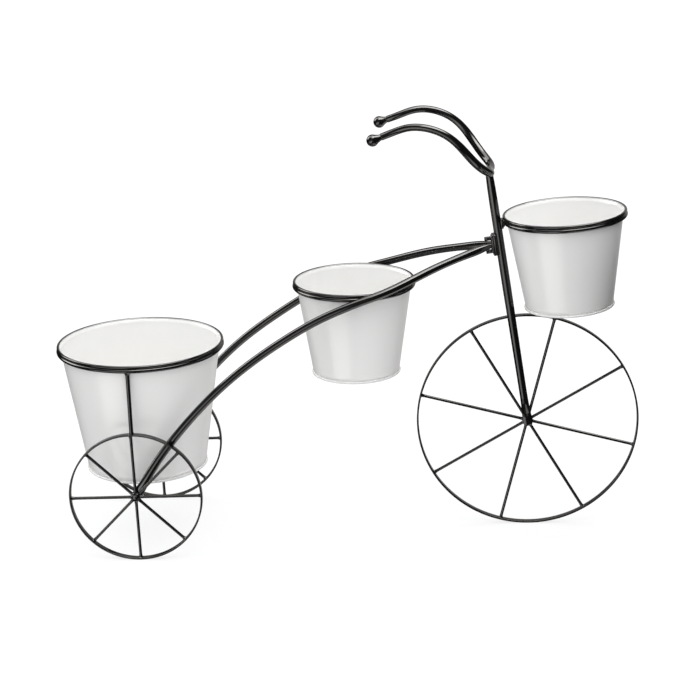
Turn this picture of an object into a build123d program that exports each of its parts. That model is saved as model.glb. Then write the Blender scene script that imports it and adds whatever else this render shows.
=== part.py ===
"""Bicycle plant stand: a welded and bolted wire and tube frame that carries three
lift-out sheet-metal pots. Units are millimetres. +X points to the front wheel,
+Z is up, the floor is z = 0 and the origin lies under the middle of the stand."""
import os
from math import asin, atan, cos, degrees, radians, sin

from build123d import *

# wheels
BAND_WIDTH = 8.0
BAND_THICK = 2.5
SPOKE_R = 2.0
SPOKE_COUNT = 8
HUB_R = 6.0
HUB_WIDTH = 5.0
FRONT_WHEEL_R = 150.0
FRONT_WHEEL_Y = 9.6
FRONT_SPOKE_ANGLE = 30.6
REAR_WHEEL_R = 89.0
REAR_X = -279.0
REAR_SPOKE_ANGLE = 1.0
AXLE_R = 4.0
AXLE_PROUD = 1.0

# stem, a straight raked tube: x = STEM_X0 - STEM_RAKE * z
STEM_X0 = 264.2
STEM_RAKE = 0.1445
STEM_R = 5.85
STEM_LOW_R = 5.2
STEM_TOP_Z = 496.5
HUB_BEHIND_STEM = 0.325

# pots: rim radius is the centre line of the rolled bead
BEAD_R = 2.0
SHEET = 0.8
RING_WIRE_R = 2.75
RING_DROP = 5.05
FLARE_DROP = 5.5
FOOT_HEIGHT = 3.2
FOOT_THICK = 3.4
REAR_POT = dict(rim_r=110.2, foot_r=82.4, depth=173.4)
SMALL_POT = dict(rim_r=79.3, foot_r=59.6, depth=126.5)
AXLE_CLEAR = 3.4
MID_POT_X = 12.5
MID_POT_Z = 353.0
FRONT_POT_Z = 440.7
FRONT_POT_CLEAR = 5.03
FRONT_POT_TILT = 3.22
STRUT_R = 2.75
STRUT_OUT = 1.3

# bolted joint behind the stem
JOINT_Z = 400.3
PLATE_THICK = 2.5
PLATE_WIDTH = 16.0
PLATE_HEIGHT = 29.0
STUD_R = 3.0
STUD_OFFSET = 8.8
NUT_ACROSS = 10.0
NUT_HEIGHT = 5.0
WASHER_R = 5.1
WASHER_THICK = 1.0
STUD_END = 19.5
PLATE_AT = STEM_R - 1.0

# frame tube and its flattened end at the rear hub
FRAME_TUBE_R = 5.25
FRAME_FLAT = {0: (5.2, 1.9), 1: (6.4, 2.05), 2: (6.3, 2.9), 3: (5.65, 4.9), 4: (5.5, 5.1)}
FRAME_TIP = {-4: (5.4, 4.9), -3: (4.3, 4.2), -2: (3.6, 3.6), -1: (3.6, 3.4)}
FRAME_HUB_GAP = 0.15
FRAME_RING_GAP = 0.4

# handlebar, +Y half, measured from the middle of the bend over the stem to the ball
BAR_R = 4.8
BAR_YAW = -1.66
BAR_ROLL = -0.29
BAR_RISE = 2.4
BAR_AHEAD = 1.044
BAR_SEAT_GAP = 0.2
BAR_POINTS = [
    (0.0, 0.0, 0.0), (1.1, 13.1, -0.1), (0.1, 27.3, 2.2), (-6.8, 40.5, 8.9),
    (-16.2, 51.9, 19.2), (-26.5, 60.5, 32.4), (-36.9, 64.7, 45.1), (-49.5, 65.7, 56.4),
    (-65.8, 65.3, 64.9), (-85.5, 63.9, 69.4), (-102.0, 61.2, 68.6), (-116.5, 59.0, 64.2),
    (-132.0, 59.7, 58.5), (-146.9, 62.3, 53.2)]
BAR_SWELL = [0.2, 0.4, 0.6, 0.75, 0.75, 0.7, 0.4, 0.1, 0.0, -0.05, -0.1, -0.1, -0.15, -0.2]
BALL_R = 7.85
BALL_NECK = 11.3
BALL_NECK_R = 3.9

# front ring tab and its screw
TAB_BELOW_RIM = 14.2
TAB_HEIGHT = 13.0
TAB_WIDTH = 12.0
TAB_THICK = 2.6
SCREW_BELOW_TAB = 2.3
SCREW_R = 2.0
SCREW_HEAD_R = 3.4
SCREW_HEAD = 2.2

# blocks that only cut, larger than what they cut
CUTTER = 80.0


def stem_x(z):
    """X of the stem's centre line at a height."""
    return STEM_X0 - STEM_RAKE * z


# places that follow from the sizes above
FRONT_WHEEL_AT = (stem_x(FRONT_WHEEL_R) - HUB_BEHIND_STEM, FRONT_WHEEL_Y)
REAR_RING_R = REAR_POT["rim_r"] - 0.1
MID_RING_R = SMALL_POT["rim_r"] - 0.1
REAR_WHEEL_Y = REAR_RING_R - STRUT_OUT
AXLE_HALF = REAR_WHEEL_Y + HUB_WIDTH / 2 + AXLE_PROUD
REAR_POT_AT = (REAR_X, 0.0, REAR_WHEEL_R + AXLE_R + AXLE_CLEAR + REAR_POT["depth"])
MID_POT_AT = (MID_POT_X, 0.0, MID_POT_Z)
FRONT_POT_AT = (stem_x(FRONT_POT_Z) + STEM_R + SMALL_POT["rim_r"] + FRONT_POT_CLEAR, 0.0, FRONT_POT_Z)
TAB_Z = FRONT_POT_Z - TAB_BELOW_RIM
SCREW_Z = TAB_Z - SCREW_BELOW_TAB
BAR_AT = (stem_x(STEM_TOP_Z) + BAR_AHEAD, 0.0, STEM_TOP_Z + BAR_RISE)
BAR_RADII = [BAR_R + swell for swell in BAR_SWELL]
FRAME_END_Y = REAR_WHEEL_Y - HUB_WIDTH / 2 - FRAME_FLAT[1][1] - FRAME_HUB_GAP
FRAME_MID_Y = MID_RING_R + RING_WIRE_R + FRAME_TUBE_R + FRAME_RING_GAP


def frame_points():
    """Centre line of the frame tube on the +Y side: axle, arch past the middle ring, joint."""
    x, y, z = REAR_X, FRAME_END_Y, REAR_WHEEL_R
    rear = [(x - 3.8, y, z - 5.4), (x, y, z), (x + 8.5, y - 0.7, z + 12.8),
            (x + 24.4, y - 3.9, z + 38.1), (x + 55.6, y - 6.5, z + 79.7),
            (x + 91.3, y - 8.4, z + 119.6), (x + 129.4, y - 11.7, z + 155.2)]
    x, y, z = MID_POT_X, FRAME_MID_Y, MID_POT_Z
    arch = [(x - 121.7, y + 0.8, z - 78.1), (x - 82.8, y - 0.7, z - 52.5), (x - 43.0, y, z - 29.5),
            (x - 4.1, y, z - 12.2), (x + 15.4, y - 1.95, z - 5.1), (x + 35.4, y - 5.9, z + 1.1),
            (x + 70.8, y - 19.4, z + 13.6)]
    x, z = stem_x(JOINT_Z), JOINT_Z
    return rear + arch + [(x - 87.56, 48.0, z - 21.0), (x - 47.96, 24.8, z - 10.1),
                          (x - 27.0, 12.8, z - 5.1), (x - 17.0, 7.2, z - 2.7),
                          (x - 12.0, 4.8, z - 1.6), (x - 2.36, 3.0, z + 0.3)]


def rod(start, end, radius):
    """A straight round rod between two points."""
    axis = Vector(*end) - Vector(*start)
    at = Plane(origin=start, z_dir=axis)
    return at * Cylinder(radius, axis.length, align=(Align.CENTER, Align.CENTER, Align.MIN))


def tangents(points):
    """Unit directions along a list of points, by differences of the neighbours."""
    spots = [Vector(*point) for point in points]
    ahead = spots[1:] + spots[-1:]
    behind = spots[:1] + spots[:-1]
    return [(after - before).normalized() for after, before in zip(ahead, behind)]


def tube_along(points, radii, ruled=False):
    """A solid that follows a curve; each (in-plane, sideways) pair is one elliptic section."""
    faces = []
    for point, along, (wide, flat) in zip(points, tangents(points), radii):
        side = along.cross(Vector(0, 1, 0)).normalized()
        section = Plane(origin=point, x_dir=side, z_dir=along) * Ellipse(wide, flat)
        faces.append(section.faces()[0])
    return loft(faces, ruled=ruled)


def round_tube(points, radii, side):
    """A solid of round sections along a curve in space, carried without twist."""
    faces = []
    for point, along, radius in zip(points, tangents(points), radii):
        side = (side - along * side.dot(along)).normalized()
        section = Plane(origin=point, x_dir=side, z_dir=along) * Circle(radius)
        faces.append(section.faces()[0])
    return loft(faces)


def across(x, y, z):
    """A location whose local Z axis runs along -Y, for wheels and hubs."""
    return Pos(x, y, z) * Rot(90, 0, 0)


def wheel_band(x, y, radius):
    """The flat hoop of one wheel, standing on the floor."""
    hoop = Cylinder(radius, BAND_WIDTH) - Cylinder(radius - BAND_THICK, 2 * BAND_WIDTH)
    return across(x, y, radius) * hoop


def wheel_spokes(x, y, radius, first):
    """Straight wire spokes from the hub to the inside of the hoop."""
    spokes = []
    inside = across(x, y, radius) * Cylinder(radius - BAND_THICK, 20)
    hub = across(x, y, radius) * Cylinder(HUB_R, 20)
    for number in range(SPOKE_COUNT):
        turn = radians(first + 360 / SPOKE_COUNT * number)
        end = (x + radius * cos(turn), y, radius + radius * sin(turn))
        spokes.append((rod((x, y, radius), end, SPOKE_R) & inside) - hub)
    return Compound(children=[solid for spoke in spokes for solid in spoke.solids()])


def wheel_hub(x, y, radius):
    """The round hub piece where the spokes meet, with eased edges."""
    disc = Cylinder(HUB_R, HUB_WIDTH)
    return across(x, y, radius) * fillet(disc.edges().filter_by(GeomType.CIRCLE), 0.8)


def stem_frame(height):
    """A location on the stem: local X to the rear, local Z up along the tube."""
    rake = atan(STEM_RAKE)
    rear = (-cos(rake), 0, -sin(rake))
    up = (-sin(rake), 0, cos(rake))
    return Plane(origin=(stem_x(height), 0, height), x_dir=rear, z_dir=up)


def stem_body():
    """The raked tube with its lower end flattened against the front hub."""
    lean = FRONT_WHEEL_AT[1] - HUB_WIDTH / 2 - 2.0
    hub, low, full = FRONT_WHEEL_R, STEM_LOW_R, STEM_R
    stations = [(hub - 7.1, lean, 4.4, 1.6), (hub - 5.7, lean, 5.5, 1.9), (hub - 3, lean, 6.3, 2.0),
                (hub + 1, lean, 6.5, 2.02), (hub + 6, lean, 6.4, 2.1),
                (hub + 12, lean - 0.6, 6.1, 2.7), (hub + 19, lean - 1.8, 5.7, 3.7),
                (hub + 27, lean - 3.1, low + 0.2, low - 0.6), (hub + 36, 1.0, low + 0.05, low - 0.1),
                (hub + 46, 0.3, low + 0.01, low), (hub + 65, 0, low + 0.01, low),
                (hub + 110, 0, low + 0.21, low + 0.2), (hub + 150, 0, full - 0.24, full - 0.25),
                (hub + 190, 0, full + 0.01, full), (JOINT_Z, 0, full + 0.01, full),
                (STEM_TOP_Z - 46.5, 0, full + 0.01, full), (STEM_TOP_Z - 21.5, 0, full - 0.24, full - 0.25),
                (STEM_TOP_Z, 0, full - 0.94, full - 0.95)]
    points = [(stem_x(z), y, z) for z, y, _, _ in stations]
    return tube_along(points, [(wide, flat) for _, _, wide, flat in stations], ruled=True)


def frame_tube(side):
    """One arched frame tube; side is +1 or -1. It ends on the frame plate."""
    points = [(x, side * y, z) for x, y, z in frame_points()]
    plain = (FRAME_TUBE_R, FRAME_TUBE_R)
    flats = FRAME_FLAT | {len(points) + i: flat for i, flat in FRAME_TIP.items()}
    tube = tube_along(points, [flats.get(i, plain) for i in range(len(points))])
    block = Box(CUTTER, CUTTER, CUTTER)
    ahead = stem_frame(JOINT_Z) * Pos(PLATE_AT + 2 * PLATE_THICK - CUTTER / 2, 0, 0) * block
    beyond = Pos(stem_x(JOINT_Z), -side * CUTTER / 2, JOINT_Z) * block
    return tube - ahead - beyond


def bar_place():
    """The handlebar is set a little askew on the stem, as in the photograph."""
    return Pos(*BAR_AT) * Rot(BAR_ROLL, 0, BAR_YAW)


def bar_seat():
    """The straight bite that the bent bar takes out of the stem's top."""
    seat = bar_place() * Rot(90, 0, 0) * Cylinder(BAR_RADII[0] + BAR_SEAT_GAP, CUTTER)
    return seat + Pos(*BAR_AT) * Pos(0, 0, CUTTER / 2) * Box(CUTTER, CUTTER, CUTTER)


def handlebar():
    """One tube bent in a V, symmetric before it is set askew."""
    half = BAR_POINTS[:-1] + [tuple(ball_axis()[0] + ball_axis()[1] * BALL_NECK)]
    points = [(x, -y, z) for x, y, z in reversed(half[1:])] + half
    radii = list(reversed(BAR_RADII[1:])) + BAR_RADII
    return bar_place() * round_tube(points, radii, Vector(0, 0, 1))


def ball_axis():
    """Centre of the +Y ball, measured from the bend, and the direction back along the bar."""
    end, before = Vector(*BAR_POINTS[-1]), Vector(*BAR_POINTS[-2])
    return end, (before - end).normalized()


def ball(side):
    """A ball with a short cone that ends on the bar's end face."""
    end, back = ball_axis()
    at = Plane(origin=(0, 0, 0), z_dir=back)
    lean = asin((BALL_R - BALL_NECK_R) / BALL_NECK)
    base, drop = BALL_R * cos(lean), BALL_R * sin(lean)
    cone = Pos(0, 0, drop) * Cone(base, BALL_NECK_R, BALL_NECK - drop,
                                  align=(Align.CENTER, Align.CENTER, Align.MIN))
    knob = Pos(end) * (at.location * (Sphere(BALL_R) + cone))
    if side < 0:
        knob = mirror(knob, about=Plane.XZ)
    return bar_place() * knob


def joint_plate(start):
    """A flat plate behind the stem, its front face at a distance from the stem's axis."""
    plate = Box(PLATE_THICK, PLATE_WIDTH, PLATE_HEIGHT, align=(Align.MIN, Align.CENTER, Align.CENTER))
    corners = plate.edges().filter_by(Axis.X)
    return Pos(start, 0, 0) * fillet(corners, 2.0)


def pot_wall(rim_r, foot_r, depth):
    """Tapered sheet wall with a small flare under the rolled rim."""
    rim, neck, low = rim_r, rim_r - RING_WIRE_R - 0.45, foot_r - 1.8
    foot_top = -depth + FOOT_HEIGHT
    outer = [(low, foot_top), (neck, -FLARE_DROP), (neck + 0.15, -2.9), (rim - 1.2, -1.1)]
    inner = [(rim - 1.95, 0.3), (neck + 0.15 - SHEET, -2.6), (neck - SHEET, -FLARE_DROP),
             (low - SHEET, foot_top)]
    face = make_face(Polyline(*[(x, 0, z) for x, z in outer + inner], close=True))
    return revolve(face, Axis.Z) - Torus(rim, BEAD_R)


def pot_foot(rim_r, foot_r, depth):
    """The seam bead round the foot that the wall and the base disc are rolled into."""
    inside = foot_r - FOOT_THICK
    face = Pos(0, 0, -depth + FOOT_HEIGHT / 2) * Rot(90, 0, 0) * Pos((foot_r + inside) / 2, 0) \
        * RectangleRounded(FOOT_THICK, FOOT_HEIGHT, 1.2)
    return revolve(face, Axis.Z)


def pot_floor(rim_r, foot_r, depth):
    """The flat base disc, set a little above the bottom edge of the seam."""
    return Pos(0, 0, -depth + FOOT_HEIGHT / 2 + 0.2) * Cylinder(foot_r - FOOT_THICK, SHEET)


def pot_pieces(name, size, place):
    """The four named pieces of one pot at its place."""
    return {name + "_wall": place * pot_wall(**size),
            name + "_rim": place * Torus(size["rim_r"], BEAD_R),
            name + "_foot": place * pot_foot(**size),
            name + "_floor": place * pot_floor(**size)}


def ring_at(size, place):
    """The wire ring that carries a pot by its rim."""
    return place * Pos(0, 0, -RING_DROP) * Torus(size["rim_r"] - 0.1, RING_WIRE_R)


def rear_strut(side, ring, band):
    """An upright wire from the rear ring to the top of a rear wheel."""
    x, y = REAR_X, side * REAR_RING_R
    top = REAR_POT_AT[2] - RING_DROP
    strut = rod((x, y, 2 * REAR_WHEEL_R - 3), (x, y, top), STRUT_R)
    solid_wheel = across(x, side * REAR_WHEEL_Y, REAR_WHEEL_R) * Cylinder(REAR_WHEEL_R, 20)
    return strut - ring - solid_wheel


def hex_nut(start):
    """A chamfered hexagon nut on local X, without its bore."""
    nut = extrude(RegularPolygon(NUT_ACROSS / 2, 6, major_radius=False), NUT_HEIGHT)
    dome = Pos(0, 0, NUT_HEIGHT / 2) * chamfer(
        Cylinder(NUT_ACROSS * 0.56, NUT_HEIGHT).edges().filter_by(GeomType.CIRCLE), 0.4)
    return Pos(start, 0, 0) * Rot(0, 90, 0) * (nut & dome)


def on_x(radius, start, end):
    """A round bar on local X between two stations."""
    align = (Align.CENTER, Align.CENTER, Align.MIN)
    return Pos(start, 0, 0) * Rot(0, 90, 0) * Cylinder(radius, end - start, align=align)


def clamp_pieces(stem):
    """Plates, studs, washers and nuts of the joint between stem and frame tubes."""
    place = stem_frame(JOINT_Z).location
    near = PLATE_AT
    far = near + PLATE_THICK
    back = far + PLATE_THICK
    offsets = [Pos(0, 0, STUD_OFFSET), Pos(0, 0, -STUD_OFFSET)]
    studs = [place * o * (on_x(STUD_R, near, STUD_END)) - stem for o in offsets]
    bores = [place * o * on_x(STUD_R, 0, CUTTER) for o in offsets]
    pieces = {"stem_plate": place * joint_plate(near) - stem,
              "frame_plate": place * joint_plate(far)}
    washers = [place * o * on_x(WASHER_R, back, back + WASHER_THICK) for o in offsets]
    nuts = [place * o * hex_nut(back + WASHER_THICK) for o in offsets]
    for name in pieces:
        pieces[name] = pieces[name] - bores[0] - bores[1]
    pieces["clamp_studs"] = group(studs)
    pieces["clamp_washers"] = group([w - b for w, b in zip(washers, bores)])
    pieces["clamp_nuts"] = group([n - b for n, b in zip(nuts, bores)])
    return pieces


def group(shapes):
    """Several solids under one node."""
    return Compound(children=[solid for shape in shapes for solid in shape.solids()])


def front_tab(stem, ring):
    """The small tab between the stem and the front ring, with its screw."""
    ahead = 0.3 - STEM_R
    plate = Box(TAB_THICK, TAB_WIDTH, TAB_HEIGHT, align=(Align.MAX, Align.CENTER, Align.CENTER))
    tab = stem_frame(TAB_Z).location * Pos(ahead, 0, 0) * fillet(plate.edges().filter_by(Axis.X), 1.5)
    place = stem_frame(SCREW_Z).location
    shank = place * on_x(SCREW_R, ahead - TAB_THICK, -1.0)
    head = place * Pos(ahead - TAB_THICK, 0, 0) * Rot(0, -90, 0) * dome(SCREW_HEAD_R, SCREW_HEAD)
    return {"front_ring_tab": tab - stem - ring - shank, "front_ring_screw": (shank - stem) + head}


def dome(radius, height):
    """A low round screw head standing on local Z."""
    ball_r = (radius ** 2 + height ** 2) / (2 * height)
    flat = Cylinder(radius, height, align=(Align.CENTER, Align.CENTER, Align.MIN))
    return flat & (Pos(0, 0, height - ball_r) * Sphere(ball_r))


def build():
    """All named pieces of the stand."""
    pieces = {}
    x, y = FRONT_WHEEL_AT
    bar = handlebar()
    stem = stem_body() - bar_seat()
    pieces["front_rim"] = wheel_band(x, y, FRONT_WHEEL_R) - stem
    pieces["front_spokes"] = wheel_spokes(x, y, FRONT_WHEEL_R, FRONT_SPOKE_ANGLE)
    pieces["front_hub"] = wheel_hub(x, y, FRONT_WHEEL_R) - stem
    pieces["stem_tube"] = stem
    pieces["handlebar"] = bar
    pieces["handlebar_balls"] = group([ball(1) - bar, ball(-1) - bar])
    pieces.update(clamp_pieces(stem))
    tilted = Pos(*FRONT_POT_AT) * Rot(0, -FRONT_POT_TILT, 0)
    places = {"pot_rear": (REAR_POT, Pos(*REAR_POT_AT)), "pot_middle": (SMALL_POT, Pos(*MID_POT_AT)),
              "pot_front": (SMALL_POT, tilted)}
    for name, (size, place) in places.items():
        pieces.update(pot_pieces(name, size, place))
    axle = rod((REAR_X, -AXLE_HALF, REAR_WHEEL_R), (REAR_X, AXLE_HALF, REAR_WHEEL_R), AXLE_R)
    pieces["rear_axle"] = axle
    tubes = {"left": frame_tube(1) - axle, "right": frame_tube(-1) - axle}
    pieces["rear_ring"] = ring_at(*places["pot_rear"])
    pieces["middle_ring"] = ring_at(*places["pot_middle"]) - tubes["left"] - tubes["right"]
    front_ring = ring_at(*places["pot_front"]) - stem
    pieces["front_ring"] = front_ring
    pieces.update(front_tab(stem, front_ring))
    for name, side in (("left", 1), ("right", -1)):
        at = (REAR_X, side * REAR_WHEEL_Y, REAR_WHEEL_R)
        pieces["frame_tube_" + name] = tubes[name]
        pieces["rear_rim_" + name] = wheel_band(*at)
        pieces["rear_spokes_" + name] = wheel_spokes(*at, REAR_SPOKE_ANGLE)
        pieces["rear_hub_" + name] = wheel_hub(*at) - axle
        pieces["rear_strut_" + name] = rear_strut(side, pieces["rear_ring"], pieces["rear_rim_" + name])
    return pieces


if __name__ == "__main__":
    os.makedirs("parts", exist_ok=True)
    for name, shape in build().items():
        export_step(shape, os.path.join("parts", name + ".step"))
        solids = shape.solids()
        print(name, len(solids), round(sum(s.volume for s in solids), 1))
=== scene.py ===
"""Looks of the bicycle plant stand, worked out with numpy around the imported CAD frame.

Lengths in the functions are millimetres in the CAD frame; skin() turns them into metres.
"""

import bpy
import numpy as np
from mathutils import Matrix


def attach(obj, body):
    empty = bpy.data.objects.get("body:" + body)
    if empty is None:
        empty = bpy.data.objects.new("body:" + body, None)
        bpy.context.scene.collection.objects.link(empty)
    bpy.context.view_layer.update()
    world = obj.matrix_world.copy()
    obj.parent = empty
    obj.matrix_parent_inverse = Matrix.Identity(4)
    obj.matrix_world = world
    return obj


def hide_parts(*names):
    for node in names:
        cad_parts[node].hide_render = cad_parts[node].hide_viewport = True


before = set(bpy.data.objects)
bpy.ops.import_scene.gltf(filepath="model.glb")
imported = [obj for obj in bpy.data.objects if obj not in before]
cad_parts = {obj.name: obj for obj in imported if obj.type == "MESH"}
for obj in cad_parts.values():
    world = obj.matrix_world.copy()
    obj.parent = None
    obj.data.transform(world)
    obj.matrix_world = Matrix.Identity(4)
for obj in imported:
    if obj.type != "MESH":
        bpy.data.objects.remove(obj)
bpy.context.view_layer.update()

TURN = 2 * np.pi
UP = np.array([0.0, 0.0, 1.0])
SIDE = np.array([0.0, 1.0, 0.0])
NO_WIDTH = 1e-6
END_STEPS = 5

# sizes repeated from the part's source
BAND_WIDTH, BAND_THICK, SPOKES, SPOKE_R, HUB_R, HUB_WIDTH = 8.0, 2.5, 8, 2.0, 6.0, 5.0
FRONT_WHEEL = dict(x=242.2, y=9.6, radius=150.0, first=30.6)
REAR_X, REAR_WHEEL_R, REAR_WHEEL_Y, REAR_SPOKES = -279.0, 89.0, 108.8, 1.0
AXLE_R, AXLE_HALF = 4.0, 112.3
STEM_X0, STEM_RAKE, STEM_R, STEM_LOW_R, STEM_TOP_Z = 264.2, 0.1445, 5.85, 5.2, 496.5
BEAD_R, SHEET, RING_WIRE_R, RING_DROP, RING_INSET = 2.0, 0.8, 2.75, 5.05, 0.1
FLARE_DROP, FOOT_HEIGHT, FOOT_THICK = 5.5, 3.2, 3.4
REAR_POT = dict(rim=110.2, foot=82.4, depth=173.4)
SMALL_POT = dict(rim=79.3, foot=59.6, depth=126.5)
JOINT_Z, PLATE_AT, PLATE_THICK, PLATE_WIDTH, PLATE_HEIGHT = 400.3, 4.85, 2.5, 16.0, 29.0
STUD_R, STUD_OFFSET, STUD_END, NUT_ACROSS, NUT_HEIGHT = 3.0, 8.8, 19.5, 10.0, 5.0
WASHER_R, WASHER_THICK = 5.1, 1.0
STRUT_R = 2.75
FRAME_TUBE_R, FRAME_END_Y, FRAME_MID_Y = 5.25, 104.1, 87.6
MID_POT_X, MID_POT_Z, JOINT_X = 12.5, 353.0, 206.4
BAR_AT = np.array([193.5, 0.0, 498.9])
BAR_YAW, BAR_ROLL = -1.66, -0.29
BALL_R, BALL_NECK, BALL_NECK_R = 7.85, 11.3, 3.9


# Curves and grids

def unit(vectors):
    """Each vector divided by its length."""
    return vectors / np.linalg.norm(vectors, axis=-1, keepdims=True)


def natural_spline(knots, count):
    """Natural cubic spline by chord length through the knots, at count even stations.

    The second derivatives solve the usual three-band system; each station is the cubic
    blend of its two knots and their second derivatives. The first three columns of a knot
    are its place; further columns, such as radii, are carried along in the same way.
    """
    knots = np.asarray(knots, float)
    gaps = np.linalg.norm(np.diff(knots[:, :3], axis=0), axis=1)
    at = np.concatenate([[0.0], np.cumsum(gaps)])
    size = len(at)
    bands = np.eye(size)
    right = np.zeros_like(knots)
    inner = np.arange(1, size - 1)
    bands[inner, inner - 1] = gaps[:-1]
    bands[inner, inner] = 2 * (gaps[:-1] + gaps[1:])
    bands[inner, inner + 1] = gaps[1:]
    slope = np.diff(knots, axis=0) / gaps[:, None]
    right[1:-1] = 6 * np.diff(slope, axis=0)
    bend = np.linalg.solve(bands, right)
    t = np.linspace(0, at[-1], count)
    k = np.clip(np.searchsorted(at, t, side="right") - 1, 0, size - 2)
    h = gaps[k][:, None]
    b = (t - at[k])[:, None] / h
    a = 1 - b
    return a * knots[k] + b * knots[k + 1] + ((a**3 - a) * bend[k] + (b**3 - b) * bend[k + 1]) * h**2 / 6


def rounded_ends(path, radii, edge=0.6):
    """Adds stations at both ends whose section shrinks along a quarter circle, then to a point."""
    bend = np.linspace(0, np.pi / 2, END_STEPS)
    shrink, inward = edge * (1 - np.sin(bend))[:, None], edge * (1 - np.cos(bend))[:, None]
    head, tail = unit(path[1] - path[0]), unit(path[-1] - path[-2])
    stations = [path[:1], path[0] + head * inward, path[1:-1], path[-1] - tail * inward[::-1], path[-1:]]
    sections = [0 * radii[:1], radii[:1] - shrink, radii[1:-1], radii[-1:] - shrink[::-1], 0 * radii[-1:]]
    return np.concatenate(stations), np.concatenate(sections)


def sweep(path, radii, reference=SIDE, sides=32, edge=0.6, lumps=None):
    """Closed skin of elliptic sections along a path.

    A point is path + r1 cos(angle) side1 + r2 sin(angle) side2. side1 is the reference
    crossed with the path's direction, and side2 is that direction crossed with side1. radii
    has one value or two for each station, and both ends are eased by edge. lumps, if given,
    multiplies the radius and is a grid of stations by sides.
    """
    radii = np.asarray(radii, float)
    if radii.ndim == 1:
        radii = np.stack([radii, radii], 1)
    if lumps is not None:
        added = END_STEPS + 1
        lumps = np.concatenate([np.repeat(lumps[:1], added, 0), lumps[1:-1], np.repeat(lumps[-1:], added, 0)])
    path, radii = rounded_ends(np.asarray(path, float), radii, edge)
    along = unit(np.gradient(path[1:-1], axis=0) + 1e-9)
    along = np.concatenate([along[:1], along, along[-1:]])
    first = unit(np.cross(reference, along))
    second = np.cross(along, first)
    angle = np.arange(sides) * TURN / sides
    ring = np.cos(angle)[None, :, None] * first[:, None] * radii[:, :1, None] \
        + np.sin(angle)[None, :, None] * second[:, None] * radii[:, 1:, None]
    if lumps is not None:
        ring = ring * lumps[:, :, None]
    return path[:, None] + ring


def axes_from(axis, hint):
    """An orthonormal triple: across1, across2 and the axis."""
    axis = unit(np.asarray(axis, float))
    first = unit(np.cross(hint, axis))
    return first, np.cross(axis, first), axis


def turned(profile, centre, axis, hint=SIDE, steps=128, warp=None):
    """A profile of (radius, height) rows turned about an axis through centre.

    A point is centre + radius (cos a across1 + sin a across2) + height axis. warp(angle,
    height) is added to the radius.
    """
    profile = np.asarray(profile, float)
    first, second, axis = axes_from(axis, hint)
    angle = np.arange(steps) * TURN / steps
    radius = np.repeat(profile[:, :1], steps, 1)
    if warp is not None:
        radius = radius + warp(angle[None], profile[:, 1:]) * (radius > NO_WIDTH)
    out = np.cos(angle)[:, None] * first + np.sin(angle)[:, None] * second
    return np.asarray(centre, float) + radius[:, :, None] * out[None] + profile[:, 1, None, None] * axis


def rounded_loop(corners, radius, steps=4):
    """Closed (radius, height) loop with each corner replaced by a small arc.

    Each arc is the quadratic curve from a point before the corner, by the corner, to one
    after it, which is near a circle for corners of about a right angle.
    """
    corners = np.asarray(corners, float)
    radius = np.broadcast_to(radius, len(corners))[:, None]
    before = unit(np.roll(corners, 1, 0) - corners) * radius + corners
    after = unit(np.roll(corners, -1, 0) - corners) * radius + corners
    t = np.linspace(0, 1, steps)[:, None, None]
    arcs = (1 - t) ** 2 * before + 2 * t * (1 - t) * corners + t**2 * after
    return arcs.transpose(1, 0, 2).reshape(-1, 2)


def circle_loop(radius, height, small, steps=24):
    """Closed (radius, height) loop of a wire of the given small radius."""
    angle = np.arange(steps) * TURN / steps
    return np.stack([radius + small * np.cos(angle), height + small * np.sin(angle)], 1)


def slab(place, outline, levels):
    """A plate: its outline is scaled by each level's share at that level's height, closed to a point.

    place has the rows origin, across1, across2 and axis. levels are rows of (height, share).
    """
    levels = np.asarray(levels, float)
    origin, first, second, axis = place
    flat = outline[:, :1] * first + outline[:, 1:] * second
    return origin + levels[:, 1, None, None] * flat[None] + levels[:, 0, None, None] * axis


def plate_levels(low, high, edge, share):
    """Levels of a slab from low to high with eased edges; share is how far the edge draws in."""
    inner, eased, step = share - 0.02, 0.75 + 0.25 * share, 0.35 * edge
    rising = [(low, 0), (low, inner), (low, share), (low + step, eased), (low + edge, 1)]
    falling = [(high - edge, 1), (high - step, eased), (high, share), (high, inner), (high, 0)]
    return rising + falling


def lumpy(stations, sides, seed, depth):
    """Smooth random factor about 1 for weld metal: five seeded waves along and around."""
    waves = 5
    draw = np.random.default_rng(seed)
    s, a = np.meshgrid(np.linspace(0, 1, stations), np.arange(sides) * TURN / sides, indexing="ij")
    wave = sum(draw.uniform(0.4, 1) * np.cos(TURN * draw.integers(1, 5) * s + draw.integers(0, 4) * a
               + draw.uniform(0, TURN)) for _ in range(waves))
    return 1 + depth * wave / 2.2


# Meshes

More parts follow.
